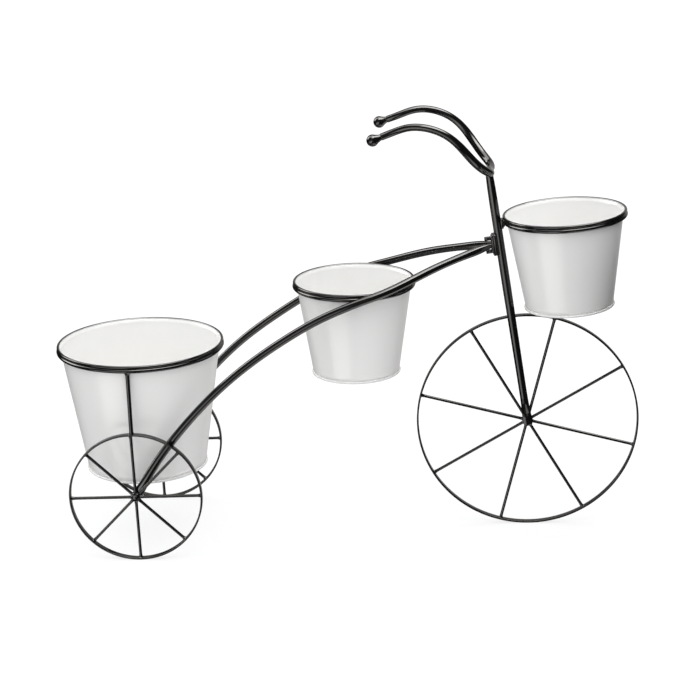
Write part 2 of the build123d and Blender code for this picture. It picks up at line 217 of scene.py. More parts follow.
def skin(name, grids, body, finish, nodes=(), wraps=None):
    """One mesh from grids of points. Rows whose points coincide become one pole vertex.

    Columns always wrap; wraps lists the grids whose rows wrap too. Each grid is turned
    outwards by the sign of its enclosed volume, and gets a UV map of column and row shares.
    """
    points, loops, totals, uvs = [], [], [], []
    offset = 0
    wraps = wraps or [False] * len(grids)
    for grid, wrap in zip(grids, wraps):
        rows, cols = grid.shape[:2]
        index = np.arange(rows * cols).reshape(rows, cols)
        pole = np.ptp(grid, axis=1).max(-1) < 1e-7
        index[pole] = index[pole][:, :1]
        u = np.arange(cols + 1) / cols
        v = np.arange(rows + 1) / rows
        if wrap:
            index = np.concatenate([index, index[:1]])
        index = np.concatenate([index, index[:, :1]], 1)
        r, c = np.meshgrid(np.arange(len(index) - 1), np.arange(cols), indexing="ij")
        quad_r = np.stack([r, r, r + 1, r + 1], -1).reshape(-1, 4)
        quad_c = np.stack([c, c + 1, c + 1, c], -1).reshape(-1, 4)
        quads = index[quad_r, quad_c]
        flat = grid.reshape(-1, 3)
        a, b, d, e = (flat[quads[:, k]] for k in range(4))
        volume = (np.cross(b - a, d - a) * a).sum() + (np.cross(d - a, e - a) * a).sum()
        if volume < 0:
            quads, quad_r, quad_c = quads[:, ::-1], quad_r[:, ::-1], quad_c[:, ::-1]
        keep = quads != np.roll(quads, 1, 1)
        used, where = np.unique(quads[keep], return_inverse=True)
        points.append(flat[used])
        loops.append(where + offset)
        totals.append(keep.sum(1))
        uvs.append(np.stack([u[quad_c[keep]], v[quad_r[keep]]], 1))
        offset += len(used)
    points = np.concatenate(points) * 0.001
    loops, totals, uvs = np.concatenate(loops), np.concatenate(totals), np.concatenate(uvs)
    mesh = bpy.data.meshes.new(name)
    mesh.vertices.add(len(points))
    mesh.vertices.foreach_set("co", points.astype(np.float32).ravel())
    mesh.loops.add(len(loops))
    mesh.loops.foreach_set("vertex_index", loops.astype(np.int32))
    mesh.polygons.add(len(totals))
    mesh.polygons.foreach_set("loop_start", (np.cumsum(totals) - totals).astype(np.int32))
    mesh.update(calc_edges=True)
    mesh.validate()
    mesh.polygons.foreach_set("use_smooth", np.ones(len(mesh.polygons), bool))
    layer = mesh.uv_layers.new(name="surface")
    layer.data.foreach_set("uv", uvs.astype(np.float32).ravel())
    piece = bpy.data.objects.new(name, mesh)
    bpy.context.scene.collection.objects.link(piece)
    mesh.materials.append(finish)
    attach(piece, body)
    if nodes:
        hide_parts(*nodes)
    return piece


# Finishes

class Wire:
    """A shader socket in Python arithmetic: every operator adds a Math node to its sheet."""

    def __init__(self, sheet, socket):
        self.sheet, self.socket = sheet, socket

    def math(self, operation, first, second=None):
        inputs = {0: first} if second is None else {0: first, 1: second}
        return self.sheet.node("ShaderNodeMath", {"operation": operation}, inputs)

    def __add__(self, other):
        return self.math("ADD", self, other)

    def __sub__(self, other):
        return self.math("SUBTRACT", self, other)

    def __rsub__(self, other):
        return self.math("SUBTRACT", other, self)

    def __mul__(self, other):
        return self.math("MULTIPLY", self, other)

    __radd__, __rmul__ = __add__, __mul__

    def step(self, low, high):
        """0 below low and 1 above high, smooth between them."""
        settings = {"interpolation_type": "SMOOTHSTEP"}
        return self.sheet.node("ShaderNodeMapRange", settings, {0: self, 1: low, 2: high})


class Sheet:
    """One material's node tree. node() is the only way that nodes are added."""

    def __init__(self, name):
        self.material = bpy.data.materials.new(name)
        self.material.use_nodes = True
        self.tree = self.material.node_tree
        self.tree.nodes.clear()
        self.place = self.node("ShaderNodeTexCoord", out="Object")
        self.around = self.node("ShaderNodeTexCoord", out="UV")

    def node(self, kind, settings=None, inputs=None, out=0):
        new = self.tree.nodes.new(kind)
        for key, value in (settings or {}).items():
            setattr(new, key, value)
        for key, value in (inputs or {}).items():
            if isinstance(value, Wire):
                self.tree.links.new(value.socket, new.inputs[key])
            else:
                new.inputs[key].default_value = value
        return Wire(self, new.outputs[out]) if len(new.outputs) else new

    def noise(self, scale, detail=2.0, stretch=None):
        where = self.place
        if stretch is not None:
            inputs = {"Vector": where, "Scale": stretch}
            where = self.node("ShaderNodeMapping", {"vector_type": "POINT"}, inputs)
        return self.node("ShaderNodeTexNoise", {}, {"Vector": where, "Scale": scale, "Detail": detail})

    def mix(self, share, first, second):
        """Colour mix: first where share is 0, second where it is 1."""
        settings = {"data_type": "RGBA", "blend_type": "MIX"}
        return self.node("ShaderNodeMix", settings, {0: share, 6: first, 7: second}, out=2)

    def bump(self, height, distance, strength=1.0, normal=None):
        inputs = {"Height": height, "Distance": distance, "Strength": strength}
        if normal is not None:
            inputs["Normal"] = normal
        return self.node("ShaderNodeBump", {}, inputs)

    def surface(self, **values):
        """The shader and the output; underscores in the names stand for spaces."""
        inputs = {key.replace("_", " "): value for key, value in values.items()}
        shader = self.node("ShaderNodeBsdfPrincipled", {}, inputs)
        self.node("ShaderNodeOutputMaterial", {}, {"Surface": shader})
        return self.material


def gloss_black(name, base=0.003, rough=0.11, ripple=0.00003):
    """Sprayed gloss black: fine orange peel, cloudy gloss and a few dull dust specks."""
    s = Sheet(name)
    clouds = s.noise(38.0, 3.0)
    dust = s.noise(1500.0, 2.0).step(0.71, 0.78)
    colour = s.mix(clouds.step(0.3, 0.75) * 0.6, (base, base, base * 1.03, 1), (base * 1.7,) * 3 + (1,))
    colour = s.mix(dust * 0.3, colour, (0.03, 0.03, 0.03, 1))
    gloss = rough + (clouds - 0.5) * 0.07 + dust * 0.2
    peel = s.bump(s.noise(520.0, 2.0), 0.00002, 0.12)
    wavy = s.bump(s.noise(70.0, 2.0), ripple, 1.0, peel)
    return s.surface(Base_Color=colour, Roughness=gloss, Normal=wavy, IOR=1.5)


def worn_hardware(name):
    """Black plated nuts, washers and studs with the plating rubbed to grey steel in small patches."""
    s = Sheet(name)
    worn = s.noise(330.0, 2.0).step(0.56, 0.62)
    colour = s.mix(worn, (0.012, 0.012, 0.012, 1), (0.42, 0.41, 0.39, 1))
    gloss = 0.26 + s.noise(200.0) * 0.1
    grain = s.bump(s.noise(900.0), 0.00002, 0.4)
    return s.surface(Base_Color=colour, Roughness=gloss, Metallic=worn * 0.8, Normal=grain, IOR=1.5)


def enamel_colour(s, warm):
    """White sheet enamel: faint cloudy tint and sparse specks."""
    clouds = s.noise(11.0, 3.0)
    specks = s.noise(900.0, 1.0).step(0.765, 0.79)
    clean = s.mix(clouds.step(0.25, 0.8) * 0.5, warm + (1,), tuple(0.975 * c for c in warm) + (1,))
    return s.mix(specks * 0.35, clean, (0.45, 0.43, 0.40, 1))


def white_enamel(name, warm=(0.83, 0.822, 0.808), rough=0.30):
    """White enamel over tapered sheet, with long soft waves from the rolls."""
    s = Sheet(name)
    gloss = rough + (s.noise(24.0, 2.0) - 0.5) * 0.10
    peel = s.bump(s.noise(420.0, 2.0), 0.00002, 0.35)
    rolls = s.bump(s.noise(16.0, 1.0, (1.0, 1.0, 0.16)), 0.00035, 0.55, peel)
    return s.surface(Base_Color=enamel_colour(s, warm), Roughness=gloss, Normal=rolls, IOR=1.5,
                     Coat_Weight=0.2, Coat_Roughness=0.2)


def bead_two_tone_and_shade(name):
    """The rolled rim: black outside and white inside, parted by a slightly wavy line on the bead. The white
    inside is a darker enamel than the wall's, as painted shade in the lip.

    The UV row share runs round the bead from its outer side over the top.
    """
    s = Sheet(name)
    row = s.node("ShaderNodeSeparateXYZ", {}, {0: s.around}, out=1)
    edge = row + (s.noise(60.0, 2.0) - 0.5) * 0.03
    white = edge.step(0.38, 0.40) * (1 - edge.step(0.80, 0.82))
    black = s.mix(s.noise(38.0).step(0.3, 0.75) * 0.6, (0.003, 0.003, 0.0031, 1), (0.006, 0.006, 0.006, 1))
    # painted shade: the white inside of the bead is enamel at 0.52, darker than the wall's 0.83, which dims
    # the lip
    colour = s.mix(white, black, enamel_colour(s, (0.52, 0.52, 0.51)))
    peel = s.bump(s.noise(520.0), 0.00002, 0.2)
    return s.surface(Base_Color=colour, Roughness=0.12 + white * 0.3, Normal=peel, IOR=1.5)


def plain_pale(name, grey, glow):
    """Plain studio sheet with a faint tooth and a glow of its own."""
    s = Sheet(name)
    return s.surface(Base_Color=(grey, grey, grey, 1), Roughness=0.9, Specular_IOR_Level=0.0,
                     Normal=s.bump(s.noise(300.0), 0.0001, 0.1), Emission_Color=(1, 1, 1, 1),
                     Emission_Strength=glow)


BLACK = gloss_black("black_paint")
WELD = gloss_black("black_weld", rough=0.3, ripple=0.0001)
FASTENER = worn_hardware("black_hardware")
ENAMEL = white_enamel("white_enamel")
# painted shade: the foot seam's enamel is a darker copy of the wall's white (0.74 against 0.83), and rougher
SHADED_SEAM = white_enamel("seam_enamel_painted_shade", warm=(0.74, 0.735, 0.725), rough=0.5)
RIM = bead_two_tone_and_shade("rim_paint_and_painted_shade")


# Pieces

def stem_x(z):
    """X of the raked stem's centre line at a height."""
    return STEM_X0 - STEM_RAKE * z


def stem_place(z):
    """Origin on the stem, then side, up along the tube, and to the rear."""
    rake = np.arctan(STEM_RAKE)
    rear = np.array([-np.cos(rake), 0, -np.sin(rake)])
    up = np.array([-np.sin(rake), 0, np.cos(rake)])
    return np.array([stem_x(z), 0, z]), SIDE, up, rear


def hoop(x, y, radius):
    """Flat bar rolled into a hoop, with rounded edges, turned about the wheel's axis."""
    low, high, half = radius - BAND_THICK, radius, BAND_WIDTH / 2
    corners = [(low, -half), (high, -half), (high, half), (low, half)]
    return turned(rounded_loop(corners, radius=0.7, steps=5), (x, y, radius), SIDE, UP, steps=288)


def wheel_spokes(x, y, radius, first):
    """Eight wires with a swell of weld metal at the hub and at the hoop.

    The radius is the wire's plus two fast-fading swells, one at each end.
    """
    grids = []
    sides = 16
    reach = radius - BAND_THICK + 0.7
    start, hub_weld_end, hoop_weld_start = HUB_R - 2, 14, reach - 7
    run = np.concatenate([np.linspace(start, hub_weld_end, 10)[:-1],
                          np.linspace(hub_weld_end, hoop_weld_start, 8)[:-1],
                          np.linspace(hoop_weld_start, reach, 10)])
    for number in range(SPOKES):
        draw = np.random.default_rng(50 + number + int(radius))
        turn = np.radians(first + 360 / SPOKES * number)
        path = np.array([x, y, radius]) + run[:, None] * np.array([np.cos(turn), 0, np.sin(turn)])
        swell = draw.uniform(1.3, 2.0) * np.exp(-(reach - run) / draw.uniform(1.3, 1.9)) \
            + draw.uniform(0.9, 1.3) * np.exp(-(run - HUB_R + 1) / 1.8)
        lumps = lumpy(len(run), sides, 900 + number + int(radius), depth=0.22)
        rough = 1 + (lumps - 1) * (swell / 1.6)[:, None]
        grids.append(sweep(path, SPOKE_R + swell, SIDE, sides, edge=0.4, lumps=rough))
    return grids


def wheel_hub(x, y, radius, first):
    """A puddled disc of weld and hub: eight low lobes towards the spokes, domed faces."""
    half = HUB_WIDTH / 2
    face = [(0, half + 0.2), (2.2, half + 0.15), (4.2, half - 0.1), (5.3, half - 0.7), (5.95, half - 1.7)]
    profile = [(r, -h) for r, h in face] + [(HUB_R, 0)] + face[::-1]
    lobes, lobe_depth = np.radians(first), 0.35

    def warp(angle, height):
        return lobe_depth * np.cos(SPOKES * (angle - lobes)) * (1 - (np.abs(height) / half) ** 2).clip(0, 1)

    return turned(profile, (x, y, radius), SIDE, UP, steps=96, warp=warp)


def stem_skin():
    """The raked tube, flattened at its lower end beside the front hub.

    A row has a height, the place sideways, and half the section's width and thickness.
    """
    lean = FRONT_WHEEL["y"] - HUB_WIDTH / 2 - 2.0
    hub, low, full = FRONT_WHEEL["radius"], STEM_LOW_R, STEM_R
    rows = np.array([
        (hub - 7.1, lean, 4.4, 1.6), (hub - 5.7, lean, 5.5, 1.9), (hub - 3, lean, 6.3, 2.0),
        (hub + 1, lean, 6.5, 2.02), (hub + 6, lean, 6.4, 2.1), (hub + 12, lean - 0.6, 6.1, 2.7),
        (hub + 19, lean - 1.8, 5.7, 3.7), (hub + 27, lean - 3.1, low + 0.2, low - 0.6),
        (hub + 36, 1.0, low, low - 0.1), (hub + 46, 0.3, low, low), (hub + 65, 0, low, low),
        (hub + 110, 0, low + 0.2, low + 0.2), (hub + 150, 0, full - 0.25, full - 0.25),
        (hub + 190, 0, full, full), (JOINT_Z, 0, full, full), (STEM_TOP_Z - 46.5, 0, full, full),
        (STEM_TOP_Z - 21.5, 0, full - 0.25, full - 0.25), (STEM_TOP_Z - 6, 0, full - 0.8, full - 0.8),
        (STEM_TOP_Z - 3, 0, full - 0.75, full - 0.4), (STEM_TOP_Z - 0.5, 0, full - 0.6, full + 0.5)])
    flat_end, top_start = hub + 70, STEM_TOP_Z - 30
    z = np.concatenate([np.linspace(rows[0, 0], flat_end, 70)[:-1], np.linspace(flat_end, top_start, 40)[:-1],
                        np.linspace(top_start, rows[-1, 0], 20)])
    lean, wide, flat = (np.interp(z, rows[:, 0], rows[:, k]) for k in (1, 2, 3))
    path = np.stack([stem_x(z), lean, z], 1)
    return sweep(path, np.stack([wide, flat], 1), SIDE, sides=40, edge=1.2)


def frame_points():
    """Knots of the arched tube on the +Y side: place, and the section's two radii.

    They are offsets from the rear hub, from the middle pot and from the bolted joint.
    """
    r = FRAME_TUBE_R
    rear = [(-3.8, 0, -5.4, 5.2, 1.9), (0, 0, 0, 6.4, 2.05), (8.5, -0.7, 12.8, 6.3, 2.9),
            (24.4, -3.9, 38.1, 5.65, 4.9), (55.6, -6.5, 79.7, 5.5, 5.1), (91.3, -8.4, 119.6, r, r),
            (129.4, -11.7, 155.2, r, r)]
    arch = [(-121.7, 0.8, -78.1, r, r), (-82.8, -0.7, -52.5, r, r), (-43.0, 0, -29.5, r, r),
            (-4.1, 0, -12.2, r, r), (15.4, -1.95, -5.1, r, r), (35.4, -5.9, 1.1, r, r),
            (70.8, -19.4, 13.6, r, r)]
    front = [(-87.6, 48.0, -21.0, r, r), (-48.0, 24.8, -10.1, r, r), (-27.0, 12.8, -5.1, 5.4, 4.9),
             (-17.0, 7.2, -2.7, 4.3, 4.2), (-12.0, 4.8, -1.6, 3.6, 3.6), (-5.9, 3.4, -0.3, 3.6, 3.4)]
    places = ((REAR_X, FRAME_END_Y, REAR_WHEEL_R), (MID_POT_X, FRAME_MID_Y, MID_POT_Z), (JOINT_X, 0, JOINT_Z))
    return np.concatenate([np.array(rows) + (*at, 0, 0) for at, rows in zip(places, (rear, arch, front))])


def frame_skin(side):
    """One arched tube, pressed flat at the rear hub and drawn in at the joint's plate."""
    line = natural_spline(frame_points() * np.array([1, side, 1, 1, 1]), count=220)
    return sweep(line[:, :3], line[:, 3:], SIDE, sides=36)


# half of the handlebar, from the bend to a ball: offsets from BAR_AT, and the radius
BAR_POINTS = np.array([
    (0.0, 0.0, 0.0, 5.0), (1.1, 13.1, -0.1, 5.2), (0.1, 27.3, 2.2, 5.4), (-6.8, 40.5, 8.9, 5.55),
    (-16.2, 51.9, 19.2, 5.55), (-26.5, 60.5, 32.4, 5.5), (-36.9, 64.7, 45.1, 5.2), (-49.5, 65.7, 56.4, 4.9),
    (-65.8, 65.3, 64.9, 4.8), (-85.5, 63.9, 69.4, 4.75), (-102.0, 61.2, 68.6, 4.7),
    (-116.5, 59.0, 64.2, 4.7), (-132.0, 59.7, 58.5, 4.65), (-146.9, 62.3, 53.2, 4.6)])


def bar_turn(points):
    """Sets points measured from the bend askew: turned by the yaw about Z, then the roll about X."""
    yaw, roll = np.radians([BAR_YAW, BAR_ROLL])
    about_z = np.array([[np.cos(yaw), -np.sin(yaw), 0], [np.sin(yaw), np.cos(yaw), 0], [0, 0, 1]])
    about_x = np.array([[1, 0, 0], [0, np.cos(roll), -np.sin(roll)], [0, np.sin(roll), np.cos(roll)]])
    return points @ (about_x @ about_z).T + BAR_AT


def bar_skin():
    """One tube bent in a V, from ball to ball."""
    half = BAR_POINTS.copy()
    half[-1, :3] += BALL_NECK * unit(half[-2, :3] - half[-1, :3])
    other = half[:0:-1] * np.array([1, -1, 1, 1])
    line = natural_spline(np.concatenate([other, half]), count=260)
    return sweep(bar_turn(line[:, :3]), line[:, 3], UP)


def ball_skin(side):
    """A ball turned about the bar's line: a sphere, then a slightly hollow cone that leaves it smoothly."""
    ends = BAR_POINTS[-2:, :3] * np.array([1, side, 1])
    ends = bar_turn(ends)
    back = unit(ends[0] - ends[1])
    lean = np.arcsin((BALL_R - BALL_NECK_R) / BALL_NECK)
    a = np.linspace(0, np.pi / 2 + lean, 26)
    ball = np.stack([BALL_R * np.sin(a), -BALL_R * np.cos(a)], 1)
    share = np.linspace(0, 1, 10)[1:, None]
    cone = ball[-1] * (1 - share) + np.array([BALL_NECK_R, BALL_NECK]) * share
    cone[:, 0] -= 0.45 * np.sin(np.pi * share[:, 0])
    close = np.array([(BALL_NECK_R, BALL_NECK + 0.6), (0, BALL_NECK + 0.6)])
    return turned(np.concatenate([ball, cone, close]), ends[1], back, UP, steps=48)


def pot_axes(place):
    """Centre of the rim and the axis of one pot, whose place is that centre and a tilt in degrees."""
    centre, tilt = place
    tilt = np.radians(tilt)
    return np.array(centre), np.array([-np.sin(tilt), 0, np.cos(tilt)])


def sheet_waves(seed):
    """Long shallow waves round the sheet, as left by bending it: four seeded harmonics."""
    draw = np.random.default_rng(seed)
    parts = [(k, draw.uniform(0.02, 0.07), draw.uniform(0, TURN)) for k in (5, 7, 9, 13)]

    def warp(angle, height):
        """The waves fade out over the 20 mm under the rim."""
        fade = np.clip(-height / 20, 0, 1)
        return fade * sum(depth * np.cos(k * angle + phase) for k, depth, phase in parts)

    return warp


def pot_wall(size, place, seed):
    """Tapered sheet, flared under the rim and turned in over the seam at the foot."""
    rim, neck, low = size["rim"], size["rim"] - RING_WIRE_R - 0.45, size["foot"] - 1.8
    foot_top = -size["depth"] + FOOT_HEIGHT - 0.6
    down = np.linspace(-FLARE_DROP, foot_top, 26)[:, None]
    share = (down + FLARE_DROP) / (foot_top + FLARE_DROP)
    outer = np.concatenate([[(rim - 0.6, -0.8), (rim - 1.6, -1.8), (neck + 0.25, -2.9), (neck + 0.02, -4.2)],
                            np.concatenate([neck + (low - neck) * share, down], 1)])
    inner = outer[::-1] - np.array([SHEET, 0])
    inner[-3:] = [(neck + 0.15 - SHEET, -2.6), (rim - 2.1, -1.0), (rim - 1.95, 0.3)]
    centre, axis = pot_axes(place)
    return turned(np.concatenate([outer, inner]), centre, axis, steps=192, warp=sheet_waves(seed))


def pot_rim(size, place):
    """The rolled bead."""
    centre, axis = pot_axes(place)
    return turned(circle_loop(size["rim"], 0, BEAD_R, steps=28), centre, axis, steps=224)


def pot_foot(size, place):
    """The pressed seam round the foot: a flattened bead with a crease above it."""
    centre, axis = pot_axes(place)
    outside, inside, low = size["foot"], size["foot"] - FOOT_THICK, -size["depth"]
    high = low + FOOT_HEIGHT
    corners = [(outside - 0.5, low), (outside, low + 0.9), (outside - 0.1, low + 2.5), (outside - 1.6, high),
               (inside, high - 0.4), (inside, low + 0.5), (outside - 2.2, low)]
    return turned(rounded_loop(corners, [0.6, 0.6, 0.7, 0.5, 0.5, 0.4, 0.5]), centre, axis, steps=192)


def pot_floor(size, place):
    """Base disc with a pressed step and a slight dish."""
    centre, axis = pot_axes(place)
    level = -size["depth"] + FOOT_HEIGHT / 2 + 0.2
    edge = size["foot"] - FOOT_THICK + 0.1
    radii = [0, edge * 0.5, edge - 12, edge - 9, edge - 7.5, edge - 4, edge]
    top = list(zip(radii, [0.25, 0.25, 0.3, 0.32, 0.7, 0.75, 0.4]))
    bottom = list(zip(radii, [-0.8, -0.8, -0.75, -0.7, -0.35, -0.3, -0.4]))
    return turned(np.array(top + bottom[::-1]) + np.array([0, level]), centre, axis)


def ring_skin(size, place):
    """The wire ring under the rim."""
    centre, axis = pot_axes(place)
    return turned(circle_loop(size["rim"] - RING_INSET, -RING_DROP, RING_WIRE_R), centre, axis, steps=224)


def strut_skin(side):
    """The upright wire, flared by weld metal onto the hoop below and the ring above."""
    y = side * (REAR_POT["rim"] - RING_INSET)
    weld, sides = 9, 20
    low, high = 2 * REAR_WHEEL_R - 0.6, REAR_RIM_Z - RING_DROP - RING_WIRE_R * 0.4
    z = np.concatenate([np.linspace(low, low + weld, 14)[:-1], np.linspace(low + weld, high - weld, 10)[:-1],
                        np.linspace(high - weld, high, 16)])
    swell = 1.9 * np.exp(-(z - low) / 1.6) + 3.6 * np.exp(-((high - z) / 2.1) ** 1.3)
    across = swell * 0.35 + STRUT_R
    path = np.stack([np.full_like(z, REAR_X), np.full_like(z, y), z], 1)
    rough = 1 + (lumpy(len(z), sides, 31 + side, depth=0.16) - 1) * (swell / 3.4)[:, None]
    return sweep(path, np.stack([STRUT_R + swell, across], 1), SIDE, sides, edge=0.5, lumps=rough)


REAR_RIM_Z = 269.8
POTS = {
    "rear": (REAR_POT, ((REAR_X, 0.0, REAR_RIM_Z), 0.0)),
    "middle": (SMALL_POT, ((MID_POT_X, 0.0, MID_POT_Z), 0.0)),
    "front": (SMALL_POT, ((290.699, 0.0, 440.7), 3.22)),
}


def hexagon(across, steps=72, ease=0.0175):
    """Outline of a hexagon with eased corners.

    The reach at an angle is half the width over a smooth greatest cosine towards the sides.
    """
    a = np.arange(steps) * TURN / steps
    sides = np.stack([np.cos(a - k * np.pi / 3) for k in range(6)])
    reach = across / 2 / np.exp(ease * np.log(np.exp(sides / ease).sum(0)))
    return np.stack([reach * np.cos(a), reach * np.sin(a)], 1)


def round_outline(radius, steps=48):
    """Points of a circle."""
    a = np.arange(steps) * TURN / steps
    return np.stack([radius * np.cos(a), radius * np.sin(a)], 1)


def box_outline(width, height, corner, steps=6):
    """Rounded rectangle as one closed line of points."""
    x, y = width / 2 - corner, height / 2 - corner
    a = np.linspace(0, np.pi / 2, steps)
    parts = [np.stack([sx + corner * np.cos(a + k * np.pi / 2), sy + corner * np.sin(a + k * np.pi / 2)], 1)
             for k, (sx, sy) in enumerate([(x, y), (-x, y), (-x, -y), (x, -y)])]
    return np.concatenate(parts)


def nut_skin(place, low):
    """A hexagon nut: the outline is cut by a shallow cone at both ends."""
    high = low + NUT_HEIGHT
    rows = [(low, 0), (low, 0.9), (low, 0.93), (low + 0.25, 0.99), (low + 0.5, 1), (high - 0.7, 1),
            (high - 0.35, 0.98), (high, 0.88), (high, 0.66), (high - 0.5, 0.6), (high - 0.5, 0)]
    origin, first, second, axis = place
    flat = slab(place, hexagon(NUT_ACROSS), rows) - origin
    h = flat @ axis
    spread = np.sqrt((flat @ first) ** 2 + (flat @ second) ** 2)
    corner, slope = NUT_ACROSS / 2 * 1.155, 0.62
    limit = corner - slope * np.clip(np.maximum(low + 0.55 - h, h - high + 0.75), 0, 9)
    cut = np.minimum(1, limit / np.maximum(spread, NO_WIDTH))[:, :, None]
    return origin + (flat - h[:, :, None] * axis) * cut + h[:, :, None] * axis


def stud_skin(place, start, end):
    """Threaded stud: an even V groove climbs one pitch a turn, and fades out in a tapered tip."""
    pitch, depth, steps, rows_a_pitch = 0.8, 0.42, 40, 8
    h = np.linspace(start, end, int((end - start) / pitch * rows_a_pitch))
    a = np.arange(steps) * TURN / steps
    phase = (h[:, None] / pitch - a[None] / TURN) % 1.0
    groove = np.abs(phase - 0.5) * 2
    fade = np.clip((end - h) / 0.9, 0, 1)[:, None]
    radius = STUD_R - depth * groove * fade - 0.5 * (1 - fade)
    origin, first, second, axis = place
    out = np.cos(a)[:, None] * first + np.sin(a)[:, None] * second
    grid = origin + radius[:, :, None] * out[None] + h[:, None, None] * axis
    tip = np.stack([np.broadcast_to(origin + axis * end, grid[0].shape)])
    root = np.stack([np.broadcast_to(origin + axis * start, grid[0].shape)])
    return np.concatenate([root, grid, tip])


def weld_bead(points, radius, seed, reference=SIDE, pitch=1.7):
    """A bead of weld along points: ripples every pitch, on a slightly lumpy section."""
    stations, sides = 60, 18
    line = natural_spline(points, stations)
    run = np.concatenate([[0], np.cumsum(np.linalg.norm(np.diff(line, axis=0), axis=1))])
    ripple = 1 + 0.10 * np.abs(np.sin(np.pi * run / pitch)) - 0.05
    ends = np.clip(np.minimum(run, run[-1] - run) / (1.5 * radius), 0, 1)
    radii = radius * ripple * (0.45 + 0.55 * np.sqrt(ends))
    return sweep(line, radii, reference, sides, edge=0.3, lumps=lumpy(stations, sides, seed, depth=0.14))


def on_stem(height, side, up, rear):
    """A point given from the stem's frame at a height: sideways, up along the tube, to the rear."""
    origin, across, along, back = stem_place(height)
    return origin + across * side + along * up + back * rear


def black_piece(name, grids, nodes, wraps=None):
    """A painted piece of the stand."""
    return skin(name, grids, "stand", BLACK, nodes, wraps)


def fastener(name, grids, nodes):
    """A plated piece of the stand."""
    return skin(name, grids, "stand", FASTENER, nodes)


def build_wheels():
    """Hoops, spokes and hubs."""
    wheels = {"front": ("front_rim", "front_spokes", "front_hub", FRONT_WHEEL)}
    for name, side in (("left", 1), ("right", -1)):
        at = dict(x=REAR_X, y=side * REAR_WHEEL_Y, radius=REAR_WHEEL_R, first=REAR_SPOKES)
        wheels["rear_" + name] = ("rear_rim_" + name, "rear_spokes_" + name, "rear_hub_" + name, at)
    for name, (rim, spokes, hub, at) in wheels.items():
        centre = (at["x"], at["y"], at["radius"])
        black_piece(name + "_hoop", [hoop(*centre)], [rim], [True])
        black_piece(name + "_wires", wheel_spokes(*centre, at["first"]), [spokes])
        skin(name + "_hub_disc", [wheel_hub(*centre, at["first"])], "stand", WELD, [hub])


def build_frame():
    """Stem, arched tubes, axle, struts, rings and handlebar."""
    black_piece("stem", [stem_skin()], ["stem_tube"])
    for name, side in (("left", 1), ("right", -1)):
        black_piece("arched_tube_" + name, [frame_skin(side)], ["frame_tube_" + name])
        black_piece("strut_" + name, [strut_skin(side)], ["rear_strut_" + name])
    run = np.linspace(-AXLE_HALF, AXLE_HALF, 24)
    path = np.stack([np.full_like(run, REAR_X), run, np.full_like(run, REAR_WHEEL_R)], 1)
    axle = sweep(path, np.full_like(run, AXLE_R), UP, sides=28, edge=0.9)
    black_piece("axle", [axle], ["rear_axle"])
    for name, (size, place) in POTS.items():
        black_piece(name + "_pot_ring", [ring_skin(size, place)], [name + "_ring"], [True])
    black_piece("bent_handlebar", [bar_skin()], ["handlebar"])
    black_piece("bar_balls", [ball_skin(1), ball_skin(-1)], ["handlebar_balls"])


def build_joint():
    """Plates, threaded studs, washers and nuts behind the stem."""
    place = stem_place(JOINT_Z)
    outline = box_outline(PLATE_WIDTH, PLATE_HEIGHT, corner=2.2)
    sunk, edge, share = 0.6, 0.4, 0.965
    far = PLATE_AT + PLATE_THICK
    back = far + PLATE_THICK
    seat = back + WASHER_THICK
    black_piece("stem_clamp_plate", [slab(place, outline, plate_levels(PLATE_AT - sunk, far, edge, share))],
                ["stem_plate"])
    black_piece("frame_clamp_plate", [slab(place, outline, plate_levels(far, back, edge, share))],
                ["frame_plate"])
    washers, nuts, studs = [], [], []
    origin, first, second, axis = place
    for offset, nut_turn in ((STUD_OFFSET, 14), (-STUD_OFFSET, 20)):
        centre = origin + second * offset
        at = (centre, first, second, axis)
        turn = np.radians(nut_turn)
        spun_first = np.cos(turn) * first + np.sin(turn) * second
        spun_second = np.cos(turn) * second - np.sin(turn) * first
        washers.append(slab(at, round_outline(WASHER_R), plate_levels(back, seat, edge=0.25, share=0.95)))
        nuts.append(nut_skin((centre, spun_first, spun_second, axis), seat))
        studs.append(stud_skin(at, PLATE_AT, STUD_END))
    fastener("joint_washers", washers, ["clamp_washers"])
    fastener("joint_nuts", nuts, ["clamp_nuts"])
    fastener("joint_studs", studs, ["clamp_studs"])


def build_tab():
    """The tab that holds the front ring to the stem, and its round-headed screw."""
    near = STEM_R - 0.3
    far = near + 2.6
    origin, first, second, rear = stem_place(426.5)
    levels = plate_levels(near - 0.3, far, edge=0.5, share=0.93)
    tab = slab((origin, first, second, -rear), box_outline(12.0, 13.0, corner=1.8), levels)
    black_piece("ring_tab", [tab], ["front_ring_tab"])
    origin, first, second, rear = stem_place(424.2)
    shank, head, dome = 2.0, 3.4, 2.2
    bend = np.linspace(0, np.pi / 2, 9)
    seat, share = far - 0.1, shank / head
    levels = np.concatenate([[(far - 3, 0), (far - 3, share), (seat, share), (seat, 0.98)],
                             np.stack([far + dome * np.sin(bend), np.cos(bend)], 1)])
    fastener("ring_tab_screw", [slab((origin, first, second, -rear), round_outline(head), levels)],
             ["front_ring_screw"])


def build_welds():
    """Weld metal along the stem plate's two sides, on the frame plate, and at the middle ring."""
    beads = []
    for side in (1, -1):
        plate = [on_stem(JOINT_Z, side * 4.6, up, 4.3) for up in (-13.0, 13.0)]
        beads.append(weld_bead([plate[0], (plate[0] + plate[1]) / 2, plate[1]], radius=1.5, seed=40 + side))
        foot = [on_stem(JOINT_Z, side * 6.4, up, 10.6) for up in (-7.5, 0.0, 5.5)]
        beads.append(weld_bead(foot, radius=1.6, seed=44 + side))
    for side in (1, -1):
        touch = [(13, side * 81.2, 345.9), (22, side * 80.9, 347.6), (31, side * 80.0, 349.6)]
        beads.append(weld_bead(touch, radius=1.9, seed=50 + side, reference=UP))
    skin("welds_frame", beads, "stand", WELD)


